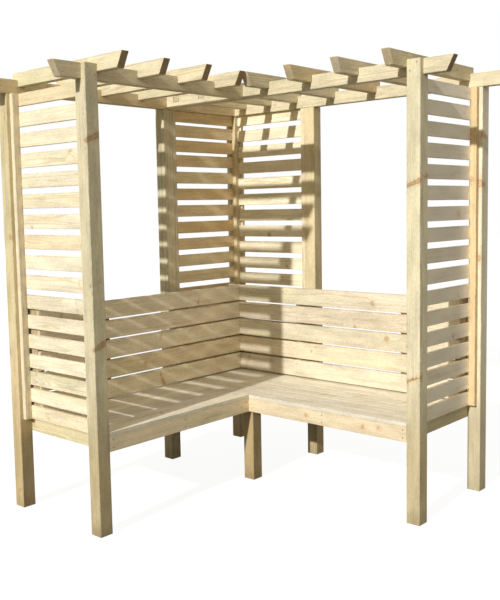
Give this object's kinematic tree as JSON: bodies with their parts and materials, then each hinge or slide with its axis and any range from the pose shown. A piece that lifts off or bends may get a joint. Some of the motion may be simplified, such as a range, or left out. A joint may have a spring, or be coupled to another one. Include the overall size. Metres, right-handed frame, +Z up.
{
  "type": "corner arbour seat",
  "caption": "L-shaped corner arbour seat in planed softwood: bench wings with board backrests, slatted end and corner panels, and an open pergola roof of notched beams.",
  "frame": {"origin": "on the ground, under the centre of the bounding box", "axes": "+X along the right-hand wing, away from the back corner; -Y along the left-hand wing, away from the back corner; +Z up"},
  "size_m": [1.888, 1.888, 2.19],
  "materials": {
    "post_timber": "planed softwood, pressure treated, satin",
    "roof_timber": "planed softwood, pressure treated, satin",
    "slat_timber": "planed softwood, pressure treated, satin",
    "back_board_timber": "planed softwood, pressure treated, satin",
    "seat_board_timber": "planed softwood, pressure treated, satin",
    "frame_timber": "planed softwood, pressure treated, satin",
    "screw_steel": "zinc-plated countersunk screw heads, dull"
  },
  "bodies": {
    "root": {"corner_post": "post_timber", "inner_corner_leg": "post_timber", "left_middle_post": "post_timber", "left_rear_post": "post_timber", "left_front_post": "post_timber", "right_middle_post": "post_timber", "right_rear_post": "post_timber", "right_front_post": "post_timber", "left_wall_beam": "roof_timber", "left_front_beam": "roof_timber", "right_wall_beam": "roof_timber", "right_front_beam": "roof_timber", "left_rafter_1": "roof_timber", "left_rafter_2": "roof_timber", "left_rafter_3": "roof_timber", "left_rafter_4": "roof_timber", "right_rafter_1": "roof_timber", "right_rafter_2": "roof_timber", "right_rafter_3": "roof_timber", "right_rafter_4": "roof_timber", "corner_rafter_1": "roof_timber", "corner_rafter_2": "roof_timber", "corner_rafter_3": "roof_timber", "left_end_panel": "slat_timber", "right_end_panel": "slat_timber", "left_corner_panel": "slat_timber", "right_corner_panel": "slat_timber", "left_back_board_1": "back_board_timber", "left_back_board_2": "back_board_timber", "left_back_board_3": "back_board_timber", "left_back_board_4": "back_board_timber", "left_back_board_5": "back_board_timber", "right_back_board_1": "back_board_timber", "right_back_board_2": "back_board_timber", "right_back_board_3": "back_board_timber", "right_back_board_4": "back_board_timber", "right_back_board_5": "back_board_timber", "left_back_upright_1": "frame_timber", "left_back_upright_2": "frame_timber", "left_back_upright_3": "frame_timber", "left_back_upright_4": "frame_timber", "right_back_upright_1": "frame_timber", "right_back_upright_2": "frame_timber", "right_back_upright_3": "frame_timber", "right_back_upright_4": "frame_timber", "left_seat_board_1": "seat_board_timber", "left_seat_board_2": "seat_board_timber", "left_seat_board_3": "seat_board_timber", "left_seat_board_4": "seat_board_timber", "left_seat_board_5": "seat_board_timber", "right_seat_board_1": "seat_board_timber", "right_seat_board_2": "seat_board_timber", "right_seat_board_3": "seat_board_timber", "right_seat_board_4": "seat_board_timber", "right_seat_board_5": "seat_board_timber", "left_seat_fascia": "seat_board_timber", "right_seat_fascia": "seat_board_timber", "left_seat_frame": "frame_timber", "right_seat_frame": "frame_timber"}
  },
  "joints": []
}
